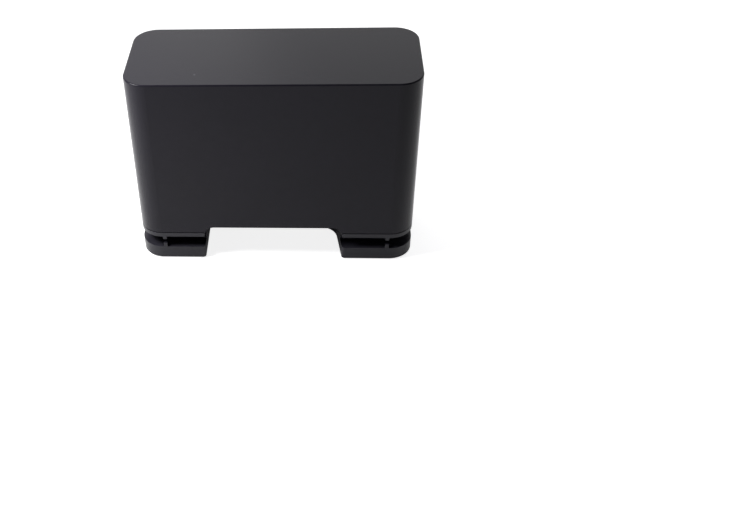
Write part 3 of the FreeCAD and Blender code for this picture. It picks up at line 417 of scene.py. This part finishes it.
def streaked_metal(name, colour, pitch, roughness, stretch):
    """Metal that was rolled, drawn, sawn, turned or rubbed in one direction.

    The eye sees a sheen broken into fine streaks along that direction, and duller and brighter bands.
    The real streaks are finer than the picture can show, so they are drawn coarser. The stretch is below 1
    on the axes that the streaks run along.
    """
    band_width = 10 * pitch
    dull_tone = 0.85
    bright_tone = 1.08

    def patterns(tree):
        place = add_node(tree, "ShaderNodeTexCoord").outputs["Object"]
        along = add_node(tree, "ShaderNodeMapping", {
            "Vector": place, "Scale": stretch}).outputs["Vector"]
        streaks = add_node(tree, "ShaderNodeTexNoise", {
            "Vector": along, "Scale": 1 / pitch, "Detail": 4.0}).outputs["Fac"]
        bands = add_node(tree, "ShaderNodeTexNoise", {
            "Vector": along, "Scale": 1 / band_width, "Detail": 1.0}).outputs["Fac"]
        spread = add_node(tree, "ShaderNodeMapRange", {
            "Value": bands, "From Min": 0.3, "From Max": 0.7,
            "To Min": 0.75 * roughness, "To Max": 1.3 * roughness}).outputs["Result"]
        tone = add_node(tree, "ShaderNodeMix", {
            MIX_SHARE: streaks, MIX_FIRST: opaque(colour, dull_tone),
            MIX_SECOND: opaque(colour, bright_tone)}, data_type="RGBA").outputs[MIX_COLOUR]
        relief = add_node(tree, "ShaderNodeBump", {
            "Height": streaks, "Strength": 0.25, "Distance": 0.01 * MM}).outputs["Normal"]
        return {"Base Color": tone, "Roughness": spread, "Normal": relief}

    return new_finish(name, {"Metallic": 1.0}, patterns)


def solder_masked_laminate(mask, track, pitch):
    """Glass laminate with copper tracks under a green lacquer.

    The eye sees the lacquer's gloss, and paler tracks that run in steps across the board.
    """
    def patterns(tree):
        place = add_node(tree, "ShaderNodeTexCoord").outputs["Object"]
        flat = add_node(tree, "ShaderNodeMapping", {
            "Vector": place, "Rotation": (math.radians(90), 0, 0)}).outputs["Vector"]
        # The pattern is counted in pitches: a track is one row, and nine pitches long
        runs = add_node(tree, "ShaderNodeTexBrick", {
            "Vector": flat, "Scale": 1 / pitch, "Row Height": 1.0, "Brick Width": 9.0,
            "Mortar Size": 0.18, "Mortar Smooth": 0.1,
            "Color1": opaque(track), "Color2": opaque(mask), "Mortar": opaque(mask)}).outputs
        relief = add_node(tree, "ShaderNodeBump", {
            "Height": runs["Fac"], "Strength": 0.3, "Distance": 0.035 * MM}, invert=True).outputs["Normal"]
        return {"Base Color": runs["Color"], "Normal": relief}

    return new_finish("laminate_solder_masked", {"Roughness": 0.28, "IOR": 1.55}, patterns)


def cast_clear_resin(colour, clouds):
    """Epoxy cast clear round a diode: the eye sees a bluish, slightly cloudy drop with a wet gloss."""
    dark_cloud = 0.9

    def patterns(tree):
        place = add_node(tree, "ShaderNodeTexCoord").outputs["Object"]
        cloud = add_node(tree, "ShaderNodeTexNoise", {
            "Vector": place, "Scale": 1 / clouds, "Detail": 2.0}).outputs["Fac"]
        gloss = add_node(tree, "ShaderNodeMapRange", {
            "Value": cloud, "To Min": 0.05, "To Max": 0.16}).outputs["Result"]
        tone = add_node(tree, "ShaderNodeMix", {
            MIX_SHARE: cloud, MIX_FIRST: opaque(colour, dark_cloud),
            MIX_SECOND: opaque(colour)}, data_type="RGBA").outputs[MIX_COLOUR]
        return {"Base Color": tone, "Roughness": gloss}

    return new_finish("epoxy_cast_clear", {"IOR": 1.55, "Transmission Weight": 0.5}, patterns)


def bent_line(corners, radius):
    """A line from corner to corner with a round bend at each inner one."""
    line = [corners[0]]
    for before, corner, after in zip(corners, corners[1:], corners[2:]):
        back = (before - corner).normalized()
        ahead = (after - corner).normalized()
        opening = back.angle(ahead)
        middle = corner + (back + ahead).normalized() * radius / math.sin(opening / 2)
        start = corner + back * radius / math.tan(opening / 2) - middle
        end = corner + ahead * radius / math.tan(opening / 2) - middle
        sweep = start.angle_signed(end)
        for step in range(BEND_STEPS + 1):
            turned = Matrix.Rotation(-sweep * step / BEND_STEPS, 2) @ start
            line.append(middle + turned)
    line.append(corners[-1])
    return line


def strip_mesh(name, line, left, right, half):
    """A closed strip from left to right along X, half its thickness to each side of a line in Y and Z."""
    mesh = bpy.data.meshes.new(name)
    strip = bmesh.new()
    rows = []
    for index, point in enumerate(line):
        before = line[max(index - 1, 0)]
        after = line[min(index + 1, len(line) - 1)]
        along = (after - before).normalized()
        across = Vector((-along.y, along.x)) * half
        ring = ((left, across), (right, across), (right, -across), (left, -across))
        rows.append([strip.verts.new((x, point.x + offset.x, point.y + offset.y)) for x, offset in ring])
    for first, second in zip(rows, rows[1:]):
        for corner in range(len(first)):
            following = (corner + 1) % len(first)
            strip.faces.new((first[corner], first[following], second[following], second[corner]))
    strip.faces.new(rows[0][::-1])
    strip.faces.new(rows[-1])
    bmesh.ops.recalc_face_normals(strip, faces=strip.faces)
    strip.to_mesh(mesh)
    strip.free()
    return mesh


def fold_spring(side, finish, sizes):
    """A contact spring: one strip folded twice, flat on its seat and on the contact, slanted between."""
    lowest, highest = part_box(f"{side}_contact_spring")
    half = sizes.strip_thickness / 2
    near = lowest.y + half
    far = highest.y - half
    corners = [
        Vector((near, lowest.z)), Vector((near, highest.z - half)),
        Vector((far, lowest.z + half)), Vector((far, highest.z))]
    line = bent_line(corners, sizes.strip_bend)
    mesh = strip_mesh(f"{side}_folded_spring", line, lowest.x, highest.x, half)
    mesh.materials.append(finish)
    piece = bpy.data.objects.new(f"{side}_folded_spring", mesh)
    bpy.context.scene.collection.objects.link(piece)
    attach(piece, "dock")
    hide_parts(f"{side}_contact_spring")
    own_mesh(piece)


class DressShell(bpy.types.Operator):
    """Gives the tall cover its satin charcoal ABS"""

    bl_idname = "dock.dress_shell"
    bl_label = "Dress the shell"

    def execute(self, context):
        colours = context.scene.dock_colours
        sizes = context.scene.dock_sizes
        gloss = context.scene.dock_gloss
        skin = spark_textured_abs(
            "abs_spark_textured_charcoal", colours.shell, colours.lint, sizes.shell_grain, sizes,
            roughness=gloss.moulded_roughness, sheen=gloss.shell_sheen)
        dress(skin, "outer_shell")
        return {"FINISHED"}


class DressBase(bpy.types.Operator):
    """Gives the base frame and the foot plate their ABS and breaks their edges"""

    bl_idname = "dock.dress_base"
    bl_label = "Dress the base"

    def execute(self, context):
        colours = context.scene.dock_colours
        sizes = context.scene.dock_sizes
        gloss = context.scene.dock_gloss
        skin = spark_textured_abs(
            "abs_satin_charcoal", colours.base, colours.lint, sizes.base_grain, sizes,
            roughness=gloss.moulded_roughness, sheen=gloss.base_sheen)
        dress(skin, "base_frame", "bottom_plate")
        break_edges(sizes.base_edge, "base_frame", "bottom_plate")
        return {"FINISHED"}


class DressWindow(bpy.types.Operator):
    """Polishes the homing window and finishes the diodes behind it"""

    bl_idname = "dock.dress_window"
    bl_label = "Dress the window"

    def execute(self, context):
        colours = context.scene.dock_colours
        sizes = context.scene.dock_sizes
        dress(polished_smoked_acrylic(colours.window, sizes.polish_pitch), "ir_window")
        resin = cast_clear_resin(colours.resin, sizes.cloud_pitch)
        dress(resin, "ir_led_left", "ir_led_centre", "ir_led_right")
        return {"FINISHED"}


class DressInnerMouldings(bpy.types.Operator):
    """Finishes the black mouldings that hold the diodes, the contacts and the power socket's metal"""

    bl_idname = "dock.dress_inner_mouldings"
    bl_label = "Dress the inner mouldings"

    def execute(self, context):
        colours = context.scene.dock_colours
        sizes = context.scene.dock_sizes
        black = plain_moulded(
            "abs_milled_tool_black", colours.inner, sizes.base_grain, roughness=0.5, ior=1.53)
        dress(black, "led_shroud", "contact_housing", "dc_jack_body")
        break_edges(sizes.small_edge, "led_shroud", "contact_housing", "dc_jack_body")
        return {"FINISHED"}


class DressContacts(bpy.types.Operator):
    """Plates the charging contacts and finishes the seats of their springs"""

    bl_idname = "dock.dress_contacts"
    bl_label = "Dress the contacts"

    def execute(self, context):
        colours = context.scene.dock_colours
        sizes = context.scene.dock_sizes
        contacts = [f"{side}_charging_contact" for side in SIDES]
        rubbed = streaked_metal(
            "nickel_plate_rubbed", colours.nickel, sizes.streak_pitch,
            roughness=0.22, stretch=(1.0, 1.0, 0.05))
        dress(rubbed, *contacts)
        break_edges(sizes.contact_edge, *contacts)
        stamped = streaked_metal(
            "brass_stamped", colours.brass, sizes.streak_pitch, roughness=0.3, stretch=(1.0, 1.0, 0.1))
        dress(stamped, *(f"{side}_contact_terminal" for side in SIDES))
        return {"FINISHED"}


class FoldSprings(bpy.types.Operator):
    """Makes the two folded springs in place of the packed ones"""

    bl_idname = "dock.fold_springs"
    bl_label = "Fold the springs"

    def execute(self, context):
        colours = context.scene.dock_colours
        sizes = context.scene.dock_sizes
        rolled = streaked_metal(
            "spring_steel_rolled", colours.spring, sizes.streak_pitch,
            roughness=0.28, stretch=(1.0, 0.08, 0.08))
        for side in SIDES:
            fold_spring(side, rolled, sizes)
        return {"FINISHED"}


class DressPowerInlet(bpy.types.Operator):
    """Finishes the power socket's metal and the lead that goes from it to the board"""

    bl_idname = "dock.dress_power_inlet"
    bl_label = "Dress the power inlet"

    def execute(self, context):
        colours = context.scene.dock_colours
        sizes = context.scene.dock_sizes
        turned = streaked_metal(
            "nickel_plate_turned", colours.nickel, sizes.streak_pitch,
            roughness=0.2, stretch=(0.1, 1.0, 0.1))
        dress(turned, "dc_jack_pin", "dc_jack_sleeve_contact")
        insulation = plain_moulded(
            "pvc_extruded_black", colours.lead, sizes.base_grain, roughness=0.42, ior=1.53)
        dress(insulation, "jack_lead")
        nylon = plain_moulded(
            "nylon_moulded_natural", colours.nylon, sizes.base_grain, roughness=0.45, ior=1.53)
        dress(nylon, "lead_plug", "board_socket")
        break_edges(sizes.small_edge, "lead_plug", "board_socket")
        return {"FINISHED"}


class DressBoard(bpy.types.Operator):
    """Finishes the circuit board, its components and its screws"""

    bl_idname = "dock.dress_board"
    bl_label = "Dress the board"

    def execute(self, context):
        colours = context.scene.dock_colours
        sizes = context.scene.dock_sizes
        dress(solder_masked_laminate(colours.mask, colours.track, sizes.track_pitch), "main_board")
        drawn = streaked_metal(
            "aluminium_drawn", colours.can, sizes.streak_pitch, roughness=0.3, stretch=(1.0, 0.08, 1.0))
        dress(drawn, "filter_capacitor")
        pressed = plain_moulded(
            "ferrite_pressed", colours.ferrite, sizes.base_grain, roughness=0.7, ior=1.6)
        dress(pressed, "power_inductor")
        epoxy = plain_moulded("epoxy_moulded", colours.chip, sizes.base_grain, roughness=0.6, ior=1.55)
        dress(epoxy, "charge_controller_chip")
        break_edges(sizes.small_edge, "power_inductor", "charge_controller_chip")
        plated = streaked_metal(
            "zinc_plated_steel_board_screws", colours.screw, sizes.streak_pitch,
            roughness=0.3, stretch=(1.0, 0.2, 1.0))
        dress(plated, "board_screws")
        return {"FINISHED"}


class DressWeightsAndFeet(bpy.types.Operator):
    """Finishes the steel weights, the rubber feet and the case screws"""

    bl_idname = "dock.dress_weights_and_feet"
    bl_label = "Dress the weights and feet"

    def execute(self, context):
        colours = context.scene.dock_colours
        sizes = context.scene.dock_sizes
        sawn = streaked_metal(
            "mild_steel_sawn", colours.ballast, sizes.saw_pitch, roughness=0.42, stretch=(0.05, 1.0, 1.0))
        dress(sawn, "ballast_left", "ballast_right", "ballast_centre")
        break_edges(sizes.small_edge, "ballast_left", "ballast_right", "ballast_centre")
        feet = [f"rubber_foot_{side}_{end}" for side in SIDES for end in ("back", "front")]
        rubber = plain_moulded(
            "rubber_moulded_black", colours.rubber, sizes.base_grain, roughness=0.75, ior=1.52)
        dress(rubber, *feet)
        break_edges(sizes.foot_edge, *feet)
        plated = streaked_metal(
            "zinc_plated_steel_case_screws", colours.screw, sizes.streak_pitch,
            roughness=0.3, stretch=(1.0, 1.0, 0.2))
        dress(plated, "case_screws")
        return {"FINISHED"}


def add_softbox(name, power, place, size, aim):
    """A rectangular lamp that faces a point."""
    lamp = bpy.data.lights.new(name, "AREA")
    lamp.shape = "RECTANGLE"
    lamp.size, lamp.size_y = size
    lamp.energy = power
    box = bpy.data.objects.new(name, lamp)
    box.location = place
    box.rotation_euler = (Vector(aim) - Vector(place)).to_track_quat("-Z", "Y").to_euler()
    bpy.context.scene.collection.objects.link(box)


class SetStage(bpy.types.Operator):
    """Lays the floor, hangs the lamps and sets up the camera"""

    bl_idname = "dock.set_stage"
    bl_label = "Set the stage"

    def execute(self, context):
        stage = context.scene.dock_stage
        self.lay_floor(stage)
        self.light_room(stage)
        self.stand_camera(stage)
        context.scene.view_settings.view_transform = "Standard"
        return {"FINISHED"}

    def paint_floor(self, stage):
        """Matt pale paint that the camera sees as white where no shadow falls.

        Reflections and what is seen through clear plastic get the same white, with painted shade where the
        dock stands close over the floor and shuts it in: there ambient occlusion dims the white.
        """
        paint = new_finish("painted_floor_pale", {
            "Base Color": opaque(stage.floor_colour), "Roughness": 0.9, "Specular IOR Level": 0.1})
        tree = paint.node_tree
        path = add_node(tree, "ShaderNodeLightPath").outputs
        # Painted shade: ambient occlusion, raised to the falloff's power, dims the white that reflections
        # and clear plastic see where pieces stand close over the floor
        openness = add_node(tree, "ShaderNodeAmbientOcclusion", {
            "Distance": stage.floor_shade}, samples=8).outputs["AO"]
        painted_shade = add_node(tree, "ShaderNodeMath", {
            0: openness, 1: stage.floor_falloff}, operation="POWER").outputs["Value"]
        either = add_node(tree, "ShaderNodeMath", {
            0: path["Is Glossy Ray"], 1: path["Is Transmission Ray"]}, operation="MAXIMUM").outputs["Value"]
        mirrored = add_node(tree, "ShaderNodeMath", {
            0: either, 1: painted_shade}, operation="MULTIPLY").outputs["Value"]
        seen = add_node(tree, "ShaderNodeMath", {
            0: path["Is Camera Ray"], 1: mirrored}, operation="MAXIMUM").outputs["Value"]
        glow = add_node(tree, "ShaderNodeMath", {
            0: seen, 1: stage.floor_glow}, operation="MULTIPLY").outputs["Value"]
        white = add_node(tree, "ShaderNodeEmission", {"Strength": glow}).outputs["Emission"]
        both = add_node(tree, "ShaderNodeAddShader", {
            0: tree.nodes["Principled BSDF"].outputs["BSDF"], 1: white}).outputs["Shader"]
        tree.links.new(both, tree.nodes["Material Output"].inputs["Surface"])
        return paint

    def lay_floor(self, stage):
        """A wide floor whose edges turn up as a backdrop, so that low views have a pale one too."""
        mesh = bpy.data.meshes.new("floor")
        sheet = bmesh.new()
        bmesh.ops.create_grid(sheet, x_segments=1, y_segments=1, size=stage.floor_reach)
        raised = bmesh.ops.extrude_edge_only(sheet, edges=sheet.edges[:])["geom"]
        for corner in raised:
            if isinstance(corner, bmesh.types.BMVert):
                corner.co.z = stage.backdrop_height
        sheet.to_mesh(mesh)
        sheet.free()
        mesh.materials.append(self.paint_floor(stage))
        floor = bpy.data.objects.new("floor", mesh)
        bpy.context.scene.collection.objects.link(floor)

    def light_room(self, stage):
        """A dim room, three softboxes beyond the dock, and a small lamp close by on the left."""
        world = bpy.data.worlds.new("dim_room")
        world.use_nodes = True
        world.node_tree.nodes["Background"].inputs["Color"].default_value = opaque(stage.room)
        bpy.context.scene.world = world
        middle = (0.0, 0.0, 0.05)
        floor_by_left_corner = (-0.05, -0.06, 0.0)
        add_softbox(
            "back_left_softbox", stage.back_left_lamp,
            place=(-0.42, 0.75, 0.55), size=(0.8, 0.6), aim=middle)
        add_softbox(
            "back_softbox", stage.back_lamp, place=(0.05, 0.75, 0.55), size=(0.5, 0.6), aim=middle)
        add_softbox(
            "wide_softbox", stage.wide_lamp, place=(0.0, 0.9, 0.6), size=(2.0, 0.7), aim=middle)
        add_softbox(
            "left_lamp", stage.left_lamp,
            place=(-0.14, -0.05, 0.16), size=(0.06, 0.06), aim=floor_by_left_corner)

    def stand_camera(self, stage):
        """The camera, at the photograph's viewing angle."""
        lens = bpy.data.cameras.new("camera")
        lens.sensor_width = 36.0
        lens.lens = stage.camera_lens
        lens.shift_x = stage.camera_shift
        lens.clip_start = 0.01
        camera = bpy.data.objects.new("camera", lens)
        turn = Matrix.Rotation(stage.camera_turn, 4, "Z")
        tilt = Matrix.Rotation(math.pi / 2 - stage.camera_tilt, 4, "X")
        roll = Matrix.Rotation(stage.camera_roll, 4, "Z")
        camera.matrix_world = Matrix.Translation(stage.camera_place) @ turn @ tilt @ roll
        bpy.context.scene.collection.objects.link(camera)
        bpy.context.scene.camera = camera


class DockPanel(bpy.types.Panel):
    """Lists the dock's steps, colours and sizes"""

    bl_idname = "VIEW3D_PT_dock"
    bl_label = "Charging dock"
    bl_space_type = "VIEW_3D"
    bl_region_type = "UI"
    bl_category = "Dock"

    def draw(self, context):
        layout = self.layout
        for step in STEPS:
            layout.operator(step.bl_idname)
        for group_name, group in GROUPS.items():
            box = layout.box()
            for name in group.__annotations__:
                box.prop(getattr(context.scene, group_name), name)


GROUPS = {
    "dock_colours": DockColours, "dock_sizes": DockSizes, "dock_gloss": DockGloss, "dock_stage": DockStage}
STEPS = (
    DressShell, DressBase, DressWindow, DressInnerMouldings, DressContacts, FoldSprings, DressPowerInlet,
    DressBoard, DressWeightsAndFeet, SetStage)


def register():
    """Registers the groups, the operators and the panel, and gives the scene its settings."""
    for name, group in GROUPS.items():
        bpy.utils.register_class(group)
        setattr(bpy.types.Scene, name, PointerProperty(type=group))
    for step in STEPS:
        bpy.utils.register_class(step)
    bpy.utils.register_class(DockPanel)


def unregister():
    """Takes away what register added, in the opposite order."""
    bpy.utils.unregister_class(DockPanel)
    for step in reversed(STEPS):
        bpy.utils.unregister_class(step)
    for name, group in reversed(GROUPS.items()):
        delattr(bpy.types.Scene, name)
        bpy.utils.unregister_class(group)


def main():
    """Dresses the dock step by step."""
    register()
    bpy.ops.dock.dress_shell()
    bpy.ops.dock.dress_base()
    bpy.ops.dock.dress_window()
    bpy.ops.dock.dress_inner_mouldings()
    bpy.ops.dock.dress_contacts()
    bpy.ops.dock.fold_springs()
    bpy.ops.dock.dress_power_inlet()
    bpy.ops.dock.dress_board()
    bpy.ops.dock.dress_weights_and_feet()
    bpy.ops.dock.set_stage()


if __name__ == "__main__":
    main()
